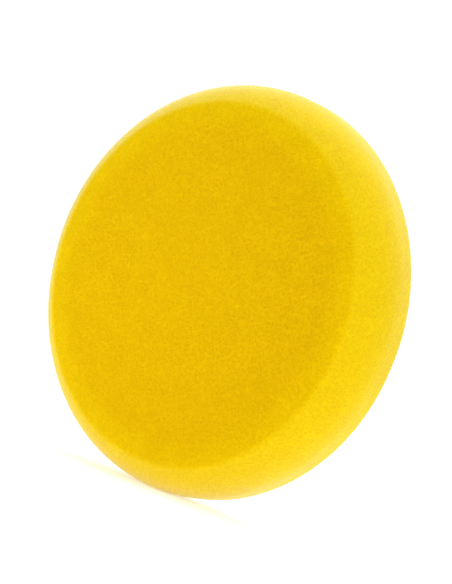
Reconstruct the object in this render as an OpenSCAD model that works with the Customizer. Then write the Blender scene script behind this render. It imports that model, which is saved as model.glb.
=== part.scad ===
// Foam polishing pad with a hook-and-loop back.
// It is a body of revolution about Y: the loop face lies at y = 0, and the working face looks along -Y.
// +Z is up, and the pad stands on its rim. The origin is the centre of the loop face.

/* [Foam] */
// Diameter of the foam at its widest ring
foam_d = 150; // [80:1:200]
// Thickness of the foam, from the bond to the working face
foam_t = 23.4; // [20:0.2:50]
// How far the edge of the working face lies inside the widest ring
face_inset = 10; // [4:0.5:15]
// Width of the straight band round the rim, next to the back edge
band_w = 5.3; // [2:0.1:8]
// Radius of the soft edge between the working face and the flank
crest_r = 5; // [1:0.5:8]
// Radius of the back edge
back_r = 2.2; // [0.5:0.1:2.8]

/* [Loop backing] */
// How far the edge of the loop disc lies inside the widest ring
loop_inset = 3; // [3:0.5:25]
// Thickness of the hot-melt film between the foam and the cloth
bond_t = 0.3; // [0.1:0.1:1]
// Thickness of the knitted ground cloth
knit_t = 0.6; // [0.3:0.1:1.5]
// Height of the brushed loops above the cloth
pile_t = 1.1; // [0.6:0.1:3]

/* [Hidden] */
$fn = 180;

// Steps in each arc of the foam's outline
back_steps = 6;
flank_steps = 20;
crest_steps = 6;

rim_r = foam_d / 2;
loop_r = rim_r - loop_inset;

// Depths from the loop face to the far side of each layer
pile_end = pile_t;
knit_end = pile_end + knit_t;
bond_end = knit_end + bond_t;

// The flank is one arc. It leaves the band along the axis, and it would meet the working face face_inset
// inside the rim if the crest were sharp. Its centre lies level with the band's front edge.
flank_start = back_r + band_w;
flank_rise = foam_t - flank_start;
flank_r = (face_inset ^ 2 + flank_rise ^ 2) / (2 * face_inset);
flank_centre = [rim_r - flank_r, flank_start];

// The crest is an arc inside the flank's arc. It touches the flank at crest_angle, and the working face.
crest_rise = foam_t - crest_r - flank_start;
crest_angle = asin(crest_rise / (flank_r - crest_r));
crest_centre = flank_centre + (flank_r - crest_r) * [cos(crest_angle), sin(crest_angle)];

back_centre = [rim_r - back_r, back_r];

function arc(centre, radius, from, to, steps) = [
    for (i = [0:steps])
        let (angle = from + (to - from) * i / steps)
        centre + radius * [cos(angle), sin(angle)]
];

// Half of the foam's section: distance from the axis, then height above the bond
foam_outline = concat(
    [[0, 0]],
    arc(back_centre, back_r, -90, 0, back_steps),
    arc(flank_centre, flank_r, 0, crest_angle, flank_steps),
    arc(crest_centre, crest_r, crest_angle, 90, crest_steps),
    [[0, foam_t]]
);

// Puts a part that is built upwards along Z on the spin axis, starting depth behind the loop face
module on_axis(depth) {
    translate([0, -depth, 0])
        rotate([90, 0, 0])
            children();
}

// The foam disc
module foam_body() {
    color("gold")
        on_axis(bond_end)
            rotate_extrude()
                polygon(foam_outline);
}

// The film that bonds the foam to the cloth
module bond_film() {
    color("cornsilk")
        on_axis(knit_end)
            cylinder(h = bond_t, r = loop_r);
}

// The knitted ground cloth
module knit_backing() {
    color("gainsboro")
        on_axis(pile_end)
            cylinder(h = knit_t, r = loop_r);
}

// The space that the brushed loops fill
module loop_pile() {
    color("whitesmoke")
        on_axis(0)
            cylinder(h = pile_t, r = loop_r);
}

foam_body();
bond_film();
knit_backing();
loop_pile();
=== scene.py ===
"""Foam polishing pad: the foam disc, the bond film, the knit cloth and its loops, in a pale studio.

Units are metres in the CAD frame. The spin axis is Y, the loop face lies at y = 0, the working face looks
along -Y, and the pad stands on its rim with +Z up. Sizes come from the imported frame.
"""
import itertools
import math

import bpy
import numpy as np
from mathutils import Matrix, Vector


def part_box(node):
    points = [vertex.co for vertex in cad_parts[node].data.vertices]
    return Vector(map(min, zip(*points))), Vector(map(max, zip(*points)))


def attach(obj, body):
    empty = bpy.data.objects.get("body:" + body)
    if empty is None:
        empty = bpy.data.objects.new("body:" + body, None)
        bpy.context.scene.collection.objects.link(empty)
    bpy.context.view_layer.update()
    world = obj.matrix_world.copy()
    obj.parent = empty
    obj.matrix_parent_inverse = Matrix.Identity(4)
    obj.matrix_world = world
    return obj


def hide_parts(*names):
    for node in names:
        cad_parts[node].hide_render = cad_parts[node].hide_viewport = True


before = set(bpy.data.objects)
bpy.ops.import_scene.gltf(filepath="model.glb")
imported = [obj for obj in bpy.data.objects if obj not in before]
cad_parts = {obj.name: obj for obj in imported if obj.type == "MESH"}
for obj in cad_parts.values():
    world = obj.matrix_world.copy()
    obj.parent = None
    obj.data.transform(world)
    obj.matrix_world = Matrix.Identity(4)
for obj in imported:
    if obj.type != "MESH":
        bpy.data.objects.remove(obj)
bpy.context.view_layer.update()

MM = 0.001

# ---------------------------------------------------------------- sizes from the frame

FOAM_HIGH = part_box("foam_body")[1]
BOND_LOW, BOND_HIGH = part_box("bond_film")
KNIT_LOW, KNIT_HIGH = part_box("knit_backing")
PILE_LOW, PILE_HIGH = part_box("loop_pile")

RIM_R = FOAM_HIGH.x
LOOP_R = KNIT_HIGH.x
FOAM_BACK_Y = FOAM_HIGH.y
FLOOR_Z = -RIM_R

# ---------------------------------------------------------------- foam

FOAM_STEP = 0.30 * MM  # between neighbouring points of the foam's surface
FOAM_SCATTER = 0.25  # how far those points are scattered, in steps
CELL = 1.15 * MM  # across one foam cell
CELL_DEPTH = 0.20 * MM  # from a cell's cut wall to its bottom
WALL = 0.34  # how much of a cell its sloping wall takes
FLANK_WEAR = 0.4  # how much shallower the cells of the ground flank are
SWELL = 0.14 * MM  # slow unevenness of the soft foam
SWELL_SIZE = 32 * MM  # across its waves
GRAIN = 0.8 * MM  # across the finest pores, which lie inside the cells
GRAIN_DEPTH = 0.12 * MM
PATCH = 9 * MM  # across the patches of slightly different colour
# Painted light over the face towards its edge, then the cut face turning into the ground flank: (from, to,
# share), as parts of the rim's radius.
GROUND_AND_EDGE_LIGHT = [(0.72, 0.85, 0.45), (0.854, 0.886, 0.55)]
# Sheen weight and roughness of the fuzz of cut walls: on the face, two rings of the crest, and the flank.
FUZZ = [(0.50, 0.29), (0.53, 0.33), (0.57, 0.37), (0.61, 0.41)]
# Where the crest's rings start and end, as parts of the rim's radius.
FUZZ_FROM, FUZZ_TO = 0.860, 0.895
EDGE_SAG = 0.35 * MM  # how far the soft edge of the face falls back
# Where that fall starts, is deepest and ends, as parts of the rim's radius.
SAG_FROM, CREST_AT, SAG_TO = 0.78, 0.87, 0.96
BACK_EDGE_R = 2.2 * MM  # the rounding of the foam's back edge

# ---------------------------------------------------------------- bond film

BOND_STEP = 0.6 * MM  # between neighbouring points of the film
BEAD_W = 2 * MM  # the width of the film's edge that has crept
CREEP = 0.25 * MM  # how far it crept, at most
CREEP_SIZE = 5 * MM  # across its waves

# ---------------------------------------------------------------- cloth and loops

KNIT_STEP = 0.45 * MM  # between neighbouring points of the cloth
WALE = 1.6 * MM  # between two ribs of the cloth
RIB_H = 0.14 * MM  # the height of the ribs
COURSE_H = 0.07 * MM  # the waves along each rib
LOOP_PITCH = 2.5 * MM  # between the loops of one set
LOOP_SCATTER = 0.35  # how far their roots are scattered, in pitches
LOOP_MARGIN = 0.9 * MM  # between the cloth's edge and the nearest root of a loop
LOOP_SIZE = (0.40, 0.72)  # least and greatest radius of a loop, in millimetres
LOOP_STRETCH = (0.7, 1.2)  # its length over its width
LOOP_RISE = (0.45, 0.95)  # its height, as a part of the pile's
LOOP_TWIST = 0.3  # how far it may twist, in millimetres
LOOP_ENDS = (0.06, 0.94)  # where round the ring the yarn comes out of the cloth and goes back in
LOOP_SETS = 5  # sets of loops, one for each bar of yarn
YARN_R = 0.10 * MM
LOOP_POINTS = 11  # along the yarn of one loop
LOOP_SIDES = 3  # around the yarn

# ---------------------------------------------------------------- studio

TENT = 0.46  # the tent's light
SUN_SPREAD = 60  # how wide each sun is, in degrees
SUNS = [  # name, azimuth and elevation in degrees, strength
    ("right", 68, 15, 1.35),
    ("front", 330, 15, 0.33),
    ("top", 0, 90, 0.60),
    ("rear", 205, 25, 0.50),
]
BOXES = [  # name, place, size, power
    ("low", (-0.14, -0.39, -0.04), 0.2, 0.22),
    ("overhead", (0.0, 0.10, 0.40), 0.3, 0.76),
    ("foot", (-0.03, -0.14, -0.06), 0.08, 0.016),
]
BACKDROP = 1.05  # how bright the camera sees the ground behind
FLOOR_HALF = 20.0  # half the floor's width
FLOOR_GLOW = 0.33  # the light that the floor gives off
FLOOR_EXTRA = 0.15  # how much brighter the camera sees it

SEED = 41


# ================================================================ helpers


def vertex_array(mesh):
    """The mesh's points as an array, one row each."""
    points = np.zeros(len(mesh.vertices) * 3)
    mesh.vertices.foreach_get("co", points)
    return points.reshape(-1, 3)


def make_mesh(name, points, faces, material, smooth=True):
    """A mesh object with those points, and triangles or quads."""
    faces = np.asarray(faces, np.int32)
    corners = faces.shape[1]
    mesh = bpy.data.meshes.new(name)
    mesh.vertices.add(len(points))
    mesh.vertices.foreach_set("co", np.asarray(points, np.float32).ravel())
    mesh.loops.add(faces.size)
    mesh.loops.foreach_set("vertex_index", faces.ravel())
    mesh.polygons.add(len(faces))
    mesh.polygons.foreach_set("loop_start", np.arange(0, faces.size, corners, dtype=np.int32))
    mesh.polygons.foreach_set("use_smooth", np.full(len(faces), smooth))
    mesh.update(calc_edges=True)
    mesh.materials.append(material)
    obj = bpy.data.objects.new(name, mesh)
    bpy.context.scene.collection.objects.link(obj)
    return obj


def smooth_step(t):
    t = np.clip(t, 0, 1)
    return t * t * (3 - 2 * t)


def lattice_noise(points, size, seed):
    """Smooth noise from -1 to 1 at each point, with features of about that size."""
    low = points.min(0) - size
    shape = np.ceil((points.max(0) - low) / size).astype(int) + 2
    values = np.random.default_rng(seed).uniform(-1, 1, shape)
    place = (points - low) / size
    corner = place.astype(int)
    near = smooth_step(place - corner)
    total = np.zeros(len(points))
    for step in itertools.product((0, 1), repeat=3):
        share = np.prod(np.where(step, near, 1 - near), axis=1)
        total += share * values[tuple((corner + step).T)]
    return total


def cell_depth(points, size, seed):
    """How deep each point lies in its foam cell, from 0 on the wall between two cells to 1 inside."""
    low = points.min(0) - 2 * size
    shape = np.ceil((points.max(0) - low) / size).astype(int) + 3
    offsets = np.random.default_rng(seed).random((*shape, 3), dtype=np.float32)
    place = (points - low) / size
    corner = place.astype(int)
    first = np.full(len(points), 9.0)
    second = first.copy()
    for step in itertools.product((-1, 0, 1), repeat=3):
        index = corner + step
        away = np.linalg.norm(index + offsets[tuple(index.T)] - place, axis=1)
        closer = away < first
        second = np.where(closer, first, np.minimum(second, away))
        first = np.where(closer, away, first)
    return smooth_step((second - first) / WALL)


# ================================================================ a disc of rings


def ring_triangles(rings):
    """Triangles of a disc whose ring i has 6 i points, counted outwards from a centre point."""
    faces = []
    for i in range(1, rings + 1):
        inner = 1 + 3 * (i - 1) * (i - 2)
        outer = 1 + 3 * i * (i - 1)
        k = np.tile(np.arange(i), 6)
        sector = np.repeat(np.arange(6), i)
        out_a = outer + sector * i + k
        out_b = outer + (sector * i + k + 1) % (6 * i)
        if i == 1:
            in_a = np.zeros(6, int)
        else:
            in_a = inner + (sector * (i - 1) + k) % (6 * (i - 1))
        faces.append(np.column_stack([in_a, out_a, out_b]))
        if i > 1:
            some = k < i - 1
            in_b = inner + (sector * (i - 1) + k + 1) % (6 * (i - 1))
            faces.append(np.column_stack([in_a, out_b, in_b])[some])
    return np.concatenate(faces)


def band_triangles(first, count, rings):
    """Triangles between rings of count points, each turned half a step from the one before."""
    j = np.arange(count)
    after = (j + 1) % count
    faces = []
    for k in range(rings):
        a = first + k * count
        b = a + count
        if k % 2 == 0:
            faces.append(np.column_stack([a + j, b + j, a + after]))
            faces.append(np.column_stack([a + after, b + j, b + after]))
        else:
            faces.append(np.column_stack([a + j, b + j, b + after]))
            faces.append(np.column_stack([a + j, b + after, a + after]))
    return np.concatenate(faces)


def lathe(section, step):
    """A closed body of revolution about Y.

    section holds (radius, y) from the edge of its flat front to the edge of its flat back. Returns the
    points, their outward normals, the way along the section at each point, and the triangles.
    """
    front_r, front_y = section[0]
    rings = round(front_r / step)
    count = 6 * rings
    spots, normals, along = [[0.0, front_y, 0.0]], [[0.0, -1.0, 0.0]], [[0.0, 0.0, 0.0]]
    for i in range(1, rings + 1):
        angle = 2 * math.pi * np.arange(6 * i) / (6 * i)
        out = np.column_stack([np.cos(angle), np.zeros(6 * i), np.sin(angle)])
        spots.extend(out * (front_r * i / rings) + [0, front_y, 0])
        normals.extend(np.tile([0, -1, 0], (6 * i, 1)))
        along.extend(out)

    lengths = np.concatenate([[0], np.cumsum(np.hypot(*np.diff(section, axis=0).T))])
    bands = round(lengths[-1] / step)
    at = np.linspace(0, lengths[-1], bands + 1)[1:]
    radius = np.interp(at, lengths, section[:, 0])
    height = np.interp(at, lengths, section[:, 1])
    little = step / 2
    turn = np.column_stack([
        np.interp(at + little, lengths, section[:, 0]) - np.interp(at - little, lengths, section[:, 0]),
        np.interp(at + little, lengths, section[:, 1]) - np.interp(at - little, lengths, section[:, 1]),
    ])
    turn /= np.linalg.norm(turn, axis=1)[:, None]
    for k in range(bands):
        angle = 2 * math.pi * (np.arange(count) + 0.5 * ((k + 1) % 2)) / count
        out = np.column_stack([np.cos(angle), np.zeros(count), np.sin(angle)])
        spots.extend(out * radius[k] + [0, height[k], 0])
        normals.extend(out * turn[k, 1] + [0, -turn[k, 0], 0])
        along.extend(out * turn[k, 0] + [0, turn[k, 1], 0])
    spots.append([0, section[-1, 1], 0])
    normals.append([0, 1, 0])
    along.append([0, 0, 0])

    last = len(spots) - 1
    edge = last - count + np.arange(count)
    cap = np.column_stack([edge, np.full(count, last), np.roll(edge, -1)])
    front_edge = 1 + 3 * rings * (rings - 1)
    faces = np.concatenate([
        ring_triangles(rings),
        band_triangles(front_edge, count, bands),
        cap,
    ])
    return np.array(spots), np.array(normals), np.array(along), faces


def cad_section(node):
    """The outline of a CAD node that is turned about Y, from its front edge to its back edge."""
    points = vertex_array(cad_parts[node].data)
    section = np.column_stack([np.hypot(points[:, 0], points[:, 2]), points[:, 1]])
    section = np.unique(np.round(section, 6), axis=0)
    section = section[section[:, 0] > section[:, 0].max() / 2]
    middle = [section[:, 0].max() / 2, (section[:, 1].min() + section[:, 1].max()) / 2]
    angle = np.arctan2(section[:, 1] - middle[1], section[:, 0] - middle[0])
    return section[np.argsort(angle)]


# ================================================================ materials


def new_material(name):
    """A node material, its node tree and its Principled shader."""
    material = bpy.data.materials.new(name)
    material.use_nodes = True
    tree = material.node_tree
    return material, tree, tree.nodes["Principled BSDF"]


def node(tree, kind, **values):
    """A new node. Names with an underscore first are input sockets, and the others are properties."""
    made = tree.nodes.new(kind)
    for name, value in values.items():
        if name.startswith("_"):
            made.inputs[name[1:].replace("_", " ")].default_value = value
        else:
            setattr(made, name, value)
    return made


def ramp(tree, source, stops):
    """A colour ramp fed by source, with (place, colour) stops."""
    made = tree.nodes.new("ShaderNodeValToRGB")
    elements = made.color_ramp.elements
    while len(elements) < len(stops):
        elements.new(0.5)
    for element, (place, colour) in zip(elements, stops):
        element.position = place
        element.color = (*colour, 1)
    tree.links.new(source, made.inputs["Fac"])
    return made.outputs["Color"]


def foam_material(name, fuzz, fuzz_roughness):
    """Dry open-cell foam: yellow walls, cells and pores painted darker where they lie deep as shade, a face
    painted lighter towards its edge, light that spreads inside, and a fuzz of cut walls.
    """
    material, tree, shader = new_material(name)
    link = tree.links.new
    place = node(tree, "ShaderNodeTexCoord").outputs["Object"]

    fine = node(tree, "ShaderNodeTexVoronoi", feature="F1", _Scale=1 / GRAIN)
    link(place, fine.inputs["Vector"])
    # Painted shade in the finest pores: both ramps are darker where the bump sinks, towards each pore's
    # middle.
    cut = ramp(tree, fine.outputs["Distance"], [
        (0.10, (0.71, 0.442, 0.0008)),
        (0.85, (0.75, 0.478, 0.0012)),
    ])
    ground = ramp(tree, fine.outputs["Distance"], [
        (0.10, (0.78, 0.556, 0.0010)),
        (0.85, (0.82, 0.595, 0.0016)),
    ])
    # The flank share paints light over the face towards its edge, then gives the ground flank its own
    # lighter colour.
    flank = node(tree, "ShaderNodeAttribute", attribute_name="flank")
    pore_shade_and_flank = node(tree, "ShaderNodeMix", data_type="RGBA")
    link(flank.outputs["Fac"], pore_shade_and_flank.inputs["Factor"])
    link(cut, pore_shade_and_flank.inputs["A"])
    link(ground, pore_shade_and_flank.inputs["B"])

    # Painted shade: the colour darkens and warms towards the middle of each cell, where it lies deep.
    cell = node(tree, "ShaderNodeAttribute", attribute_name="cell")
    painted_cell_shade = ramp(tree, cell.outputs["Fac"], [
        (0.0, (1.0, 1.0, 1.0)),
        (1.0, (0.93, 0.90, 0.80)),
    ])
    shade = node(tree, "ShaderNodeMix", data_type="RGBA", blend_type="MULTIPLY")
    shade.inputs["Factor"].default_value = 1.0
    link(pore_shade_and_flank.outputs["Result"], shade.inputs["A"])
    link(painted_cell_shade, shade.inputs["B"])

    patch = node(tree, "ShaderNodeTexNoise", _Scale=1 / PATCH, _Detail=4.0)
    link(place, patch.inputs["Vector"])
    tint = ramp(tree, patch.outputs["Fac"], [
        (0.35, (0.97, 0.96, 0.90)),
        (0.65, (1.0, 1.0, 1.0)),
    ])
    mottled = node(tree, "ShaderNodeMix", data_type="RGBA", blend_type="MULTIPLY")
    mottled.inputs["Factor"].default_value = 1.0
    link(shade.outputs["Result"], mottled.inputs["A"])
    link(tint, mottled.inputs["B"])
    link(mottled.outputs["Result"], shader.inputs["Base Color"])

    bump = node(tree, "ShaderNodeBump", _Strength=0.15, _Distance=GRAIN_DEPTH)
    link(fine.outputs["Distance"], bump.inputs["Height"])
    link(bump.outputs["Normal"], shader.inputs["Normal"])

    shader.inputs["Roughness"].default_value = 0.95
    shader.inputs["Specular IOR Level"].default_value = 0.0
    shader.inputs["Subsurface Weight"].default_value = 0.7
    shader.inputs["Subsurface Radius"].default_value = (1.0, 0.7, 0.1)
    shader.inputs["Subsurface Scale"].default_value = 4 * MM
    shader.inputs["Sheen Weight"].default_value = fuzz
    shader.inputs["Sheen Roughness"].default_value = fuzz_roughness
    return material


def bond_material():
    """Hot-melt film: cloudy, slightly glossy, the colour of weak glue."""
    material, tree, shader = new_material("bond")
    link = tree.links.new
    place = node(tree, "ShaderNodeTexCoord").outputs["Object"]
    cloud = node(tree, "ShaderNodeTexNoise", _Scale=1 / (1.6 * MM), _Detail=4.0)
    link(place, cloud.inputs["Vector"])
    colour = ramp(tree, cloud.outputs["Fac"], [
        (0.30, (0.66, 0.58, 0.30)),
        (0.70, (0.80, 0.75, 0.52)),
    ])
    link(colour, shader.inputs["Base Color"])
    bump = node(tree, "ShaderNodeBump", _Strength=0.4, _Distance=0.1 * MM)
    link(cloud.outputs["Fac"], bump.inputs["Height"])
    link(bump.outputs["Normal"], shader.inputs["Normal"])
    shader.inputs["Roughness"].default_value = 0.38
    shader.inputs["Subsurface Weight"].default_value = 0.4
    shader.inputs["Subsurface Radius"].default_value = (1.0, 0.8, 0.5)
    shader.inputs["Subsurface Scale"].default_value = 0.6 * MM
    return material


def yarn_material(name, dark, light, scale, rib_light=0.0):
    """Nylon yarn: filaments a little lighter and darker than each other, with a soft sheen.

    How much lighter the attribute "rib" makes it is given last: painted light on the tops of the cloth's
    raised ribs, which leaves the hollows between them darker.
    """
    material, tree, shader = new_material(name)
    link = tree.links.new
    place = node(tree, "ShaderNodeTexCoord").outputs["Object"]
    speckle = node(tree, "ShaderNodeTexNoise", _Scale=scale, _Detail=3.0)
    link(place, speckle.inputs["Vector"])
    # Painted light on the ribs: "rib" lightens the raised parts of the cloth.
    rib = node(tree, "ShaderNodeAttribute", attribute_name="rib")
    shade = node(tree, "ShaderNodeMath", operation="MULTIPLY_ADD")
    shade.inputs[1].default_value = rib_light
    link(rib.outputs["Fac"], shade.inputs[0])
    link(speckle.outputs["Fac"], shade.inputs[2])
    colour = ramp(tree, shade.outputs["Value"], [(0.35, dark), (0.65 + rib_light, light)])
    link(colour, shader.inputs["Base Color"])
    shader.inputs["Roughness"].default_value = 0.62
    shader.inputs["Specular IOR Level"].default_value = 0.35
    shader.inputs["Sheen Weight"].default_value = 0.3
    shader.inputs["Sheen Roughness"].default_value = 0.4
    return material


# ================================================================ pieces


def make_foam():
    """The foam disc, with its cut cells as real relief."""
    section = cad_section("foam_body")
    points, normals, along, faces = lathe(section, FOAM_STEP)
    radius = np.hypot(points[:, 0], points[:, 2]) / RIM_R
    # The share of the ground flank's lighter colour. Over the face it is painted light, lighter towards the
    # edge; at the crest it is the step onto the ground flank.
    flank = sum(share * smooth_step((radius - low) / (high - low)) for low, high, share in GROUND_AND_EDGE_LIGHT)
    fall = smooth_step((radius - SAG_FROM) / (CREST_AT - SAG_FROM))
    rise = smooth_step((radius - CREST_AT) / (SAG_TO - CREST_AT))
    points[:, 1] += EDGE_SAG * (fall - rise) * (normals[:, 1] < 0)

    rng = np.random.default_rng(SEED)
    across = np.cross(normals, along)
    shift = rng.uniform(-FOAM_SCATTER, FOAM_SCATTER, (len(points), 2)) * FOAM_STEP
    points = points + along * shift[:, :1] + across * shift[:, 1:]

    depth = cell_depth(points, CELL, SEED + 1)
    swell = lattice_noise(points, SWELL_SIZE, SEED + 2)
    move = CELL_DEPTH * (1 - FLANK_WEAR * flank) * (0.5 - depth) + SWELL * swell
    hidden = (points[:, 1] > FOAM_BACK_Y - FOAM_STEP) & (radius * RIM_R < LOOP_R)
    move[hidden] = 0
    points = points + normals * move[:, None]

    foam = make_mesh("foam", points, faces, foam_material("foam_0", *FUZZ[0]))
    for i, (weight, roughness) in enumerate(FUZZ[1:], 1):
        foam.data.materials.append(foam_material("foam_%d" % i, weight, roughness))

    # The fuzz fades in ring by ring, since each material has only one sheen.
    ring = (radius[faces].mean(axis=1) - FUZZ_FROM) / (FUZZ_TO - FUZZ_FROM) * (len(FUZZ) - 1)
    ring = np.clip(np.ceil(ring), 0, len(FUZZ) - 1).astype(np.int32)
    foam.data.polygons.foreach_set("material_index", ring)
    # These attributes carry painted shade deep in the cells and painted light towards the face's edge,
    # besides the ground flank's own colour.
    for name, values in (("cell", depth), ("flank", flank)):
        attribute = foam.data.attributes.new(name, "FLOAT", "POINT")
        attribute.data.foreach_set("value", values.astype(np.float32))
    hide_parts("foam_body")
    return foam


def disc_section(radius, front_y, back_y, edge_r, steps=5):
    """The outline of a flat disc with rounded edges, from its front edge to its back edge."""
    quarter = np.linspace(0, math.pi / 2, steps)
    front = np.column_stack([
        radius - edge_r + edge_r * np.sin(quarter),
        front_y + edge_r - edge_r * np.cos(quarter),
    ])
    back = np.column_stack([
        radius - edge_r + edge_r * np.cos(quarter),
        back_y - edge_r + edge_r * np.sin(quarter),
    ])
    return np.concatenate([front, back])


def make_bond():
    """The bond film. A thin bead of it shows round the edge of the cloth."""
    thick = BOND_HIGH.y - BOND_LOW.y
    section = disc_section(LOOP_R, BOND_LOW.y, BOND_HIGH.y, 0.45 * thick)
    points, _, _, faces = lathe(section, BOND_STEP)
    radius = np.hypot(points[:, 0], points[:, 2])
    outer = smooth_step((radius - LOOP_R + BEAD_W) / BEAD_W)
    creep = CREEP * lattice_noise(points, CREEP_SIZE, SEED + 3) * outer
    points[:, [0, 2]] *= (1 + creep / np.maximum(radius, MM))[:, None]
    bond = make_mesh("bond", points, faces, bond_material())
    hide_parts("bond_film")
    return bond


def make_knit():
    """The knit ground cloth, with its wales as low ribs on the loop side."""
    thick = KNIT_HIGH.y - KNIT_LOW.y
    section = disc_section(LOOP_R, -KNIT_HIGH.y, -KNIT_LOW.y, 0.4 * thick)
    points, normals, _, faces = lathe(section, KNIT_STEP)
    points[:, 1] *= -1
    normals[:, 1] *= -1
    faces = faces[:, ::-1]
    across = math.pi * points[:, 0] / WALE
    wale = np.abs(np.sin(across))
    course = np.sin(2 * math.pi * points[:, 2] / WALE + 0.8 * np.sin(2 * across))
    lift = RIB_H * (wale - 0.6) + COURSE_H * course
    points = points + normals * (lift * (normals[:, 1] > 0.9))[:, None]
    yarn = yarn_material("knit", (0.44, 0.43, 0.41), (0.76, 0.75, 0.72), 1 / (0.4 * MM), rib_light=0.5)
    cloth = make_mesh("knit", points, faces, yarn)
    # Painted light and shade: "rib" follows the height of the ribs and their waves, so the yarn is painted
    # lighter on top and darker between.
    attribute = cloth.data.attributes.new("rib", "FLOAT", "POINT")
    attribute.data.foreach_set("value", (0.7 * wale + 0.3 * course).astype(np.float32))
    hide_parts("knit_backing")
    return cloth


def loop_roots(rng):
    """Where the loops leave the cloth: a staggered grid with a little scatter, inside the disc's edge."""
    rows = np.arange(-LOOP_R, LOOP_R, LOOP_PITCH * 0.87)
    columns = np.arange(-LOOP_R, LOOP_R, LOOP_PITCH)
    x, z = np.meshgrid(columns, rows)
    x[1::2] += LOOP_PITCH / 2
    roots = np.column_stack([x.ravel(), z.ravel()])
    roots += rng.uniform(-LOOP_SCATTER, LOOP_SCATTER, roots.shape) * LOOP_PITCH
    return roots[np.hypot(*roots.T) < LOOP_R - LOOP_MARGIN]


def yarn_tubes(lines):
    """The points and quads of a tube of yarn along each line. lines is (line, point, xyz)."""
    way = np.gradient(lines, axis=1)
    way /= np.linalg.norm(way, axis=2, keepdims=True)
    first = np.cross(way, [0.0, 1.0, 0.0])
    first /= np.linalg.norm(first, axis=2, keepdims=True)
    second = np.cross(way, first)
    angle = 2 * math.pi * np.arange(LOOP_SIDES) / LOOP_SIDES
    points = (
        lines[:, :, None, :]
        + YARN_R * np.cos(angle)[None, None, :, None] * first[:, :, None, :]
        + YARN_R * np.sin(angle)[None, None, :, None] * second[:, :, None, :]
    )

    step, side = np.meshgrid(np.arange(LOOP_POINTS - 1), np.arange(LOOP_SIDES), indexing="ij")
    a = step * LOOP_SIDES + side
    b = step * LOOP_SIDES + (side + 1) % LOOP_SIDES
    one = np.stack([a, b, b + LOOP_SIDES, a + LOOP_SIDES], axis=-1).reshape(-1, 4)
    start = np.arange(len(lines)) * LOOP_POINTS * LOOP_SIDES
    faces = one[None] + start[:, None, None]
    return points.reshape(-1, 3), faces.reshape(-1, 4)


def make_pile(name, seed):
    """Brushed loops: rings of yarn that rise from the cloth, lean every way and come back to their roots."""
    rng = np.random.default_rng(seed)
    roots = loop_roots(rng)
    n = len(roots)
    size = rng.uniform(*LOOP_SIZE, n)[:, None] * MM
    stretch = rng.uniform(*LOOP_STRETCH, n)[:, None]
    turn = rng.uniform(0, 2 * math.pi, n)[:, None]
    tallest = PILE_HIGH.y - PILE_LOW.y
    rise = rng.uniform(*LOOP_RISE, n)[:, None] * tallest
    twist = rng.uniform(-LOOP_TWIST, LOOP_TWIST, n)[:, None] * MM

    around = np.linspace(*LOOP_ENDS, LOOP_POINTS) * 2 * math.pi
    out = size * (1 - np.cos(around))
    side = size * stretch * np.sin(around)
    x = roots[:, :1] + out * np.cos(turn) - side * np.sin(turn)
    z = roots[:, 1:] + out * np.sin(turn) + side * np.cos(turn)
    sway = twist * np.sin(around) * np.sin(around / 2) ** 2
    y = PILE_LOW.y - YARN_R + 0.5 * rise * (1 - np.cos(around)) + sway
    line = np.stack([x, np.clip(y, PILE_LOW.y - YARN_R, PILE_HIGH.y - YARN_R), z], axis=2)

    points, faces = yarn_tubes(line)
    yarn = yarn_material(name, (0.80, 0.79, 0.77), (0.92, 0.91, 0.89), 1 / (3 * MM))
    pile = make_mesh(name, points, faces, yarn)
    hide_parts("loop_pile")
    return pile


# ================================================================ studio


def make_floor():
    """A plain white floor under the rim."""
    material, tree, shader = new_material("floor")
    shader.inputs["Base Color"].default_value = (0.92, 0.92, 0.92, 1)
    shader.inputs["Roughness"].default_value = 0.9
    shader.inputs["Specular IOR Level"].default_value = 0.1
    shader.inputs["Emission Color"].default_value = (1, 1, 1, 1)
    seen = node(tree, "ShaderNodeMath", operation="MULTIPLY_ADD")
    seen.inputs[1].default_value = FLOOR_EXTRA
    seen.inputs[2].default_value = FLOOR_GLOW
    tree.links.new(node(tree, "ShaderNodeLightPath").outputs["Is Camera Ray"], seen.inputs[0])
    tree.links.new(seen.outputs["Value"], shader.inputs["Emission Strength"])
    corners = [(x * FLOOR_HALF, y * FLOOR_HALF, FLOOR_Z) for x, y in ((-1, -1), (1, -1), (1, 1), (-1, 1))]
    make_mesh("floor", corners, [(0, 1, 2, 3)], material, smooth=False)


def soft_sun(name, azimuth, elevation, strength):
    """A sun so wide that its shadows are soft. Azimuth 0 is ahead of the working face, and 90 is on +X."""
    lamp = bpy.data.lights.new(name, "SUN")
    lamp.energy = strength
    lamp.angle = math.radians(SUN_SPREAD)
    obj = bpy.data.objects.new(name, lamp)
    level = math.cos(elevation)
    towards = Vector((level * math.sin(azimuth), -level * math.cos(azimuth), math.sin(elevation)))
    obj.rotation_euler = towards.to_track_quat("Z", "Y").to_euler()
    bpy.context.scene.collection.objects.link(obj)


def softbox(name, place, size, power):
    """A square lamp at that place, facing the origin."""
    lamp = bpy.data.lights.new(name, "AREA")
    lamp.energy = power
    lamp.shape = "SQUARE"
    lamp.size = size
    obj = bpy.data.objects.new(name, lamp)
    obj.location = place
    obj.rotation_euler = Vector(place).to_track_quat("Z", "Y").to_euler()
    obj.visible_camera = False
    bpy.context.scene.collection.objects.link(obj)


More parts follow.
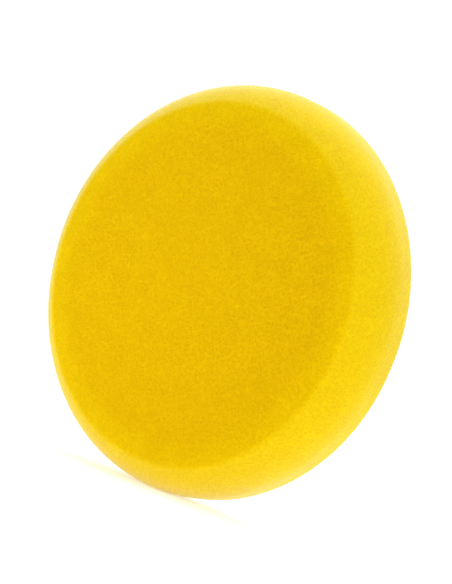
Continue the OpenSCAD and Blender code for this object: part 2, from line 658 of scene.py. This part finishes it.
def make_lights():
    """A white tent with the suns and softboxes in it, and a white backdrop that only the camera sees."""
    world = bpy.data.worlds.new("tent")
    bpy.context.scene.world = world
    world.use_nodes = True
    tree = world.node_tree
    tent = tree.nodes["Background"]
    tent.inputs["Color"].default_value = (1, 1, 1, 1)
    tent.inputs["Strength"].default_value = TENT
    backdrop = node(tree, "ShaderNodeBackground", _Color=(1, 1, 1, 1), _Strength=BACKDROP)
    either = node(tree, "ShaderNodeMixShader")
    tree.links.new(node(tree, "ShaderNodeLightPath").outputs["Is Camera Ray"], either.inputs["Fac"])
    tree.links.new(tent.outputs["Background"], either.inputs[1])
    tree.links.new(backdrop.outputs["Background"], either.inputs[2])
    tree.links.new(either.outputs["Shader"], tree.nodes["World Output"].inputs["Surface"])

    for name, azimuth, elevation, strength in SUNS:
        soft_sun(name, math.radians(azimuth), math.radians(elevation), strength)
    for name, place, size, power in BOXES:
        softbox(name, place, size, power)


def make_camera():
    """A long lens, level with the pad's centre and rolled, so that the pad leans to the left."""
    lens = 105
    theta = math.radians(36.53)  # between the view and the spin axis
    roll = math.radians(16.90)
    distance = 8.223 * RIM_R
    aim_right, aim_down = 0.0078 * RIM_R, 0.0002 * RIM_R
    ring = Vector((0, FOAM_BACK_Y - BACK_EDGE_R, 0))  # the middle of the rim's widest circle

    ahead = Vector((-math.sin(theta), math.cos(theta), 0))
    level = Vector((math.cos(theta), math.sin(theta), 0))
    up = Vector((0, 0, 1))
    right = math.cos(roll) * level + math.sin(roll) * up
    down = math.sin(roll) * level - math.cos(roll) * up

    data = bpy.data.cameras.new("camera")
    data.lens = lens
    data.sensor_width = 36
    data.clip_start = 0.01
    camera = bpy.data.objects.new("camera", data)
    turn = Matrix((right, -down, -ahead)).transposed()
    place = ring - ahead * distance - right * aim_right - down * aim_down
    camera.matrix_world = Matrix.Translation(place) @ turn.to_4x4()
    bpy.context.scene.collection.objects.link(camera)
    bpy.context.scene.camera = camera


# ================================================================ the scene

make_camera()
make_lights()
make_floor()

bpy.context.scene.view_settings.view_transform = "Standard"

foam = make_foam()
bond = make_bond()
knit = make_knit()
piles = [make_pile("loops_%d" % (i + 1), SEED + 4 + i) for i in range(LOOP_SETS)]
for piece in (foam, bond, knit, *piles):
    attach(piece, "root")
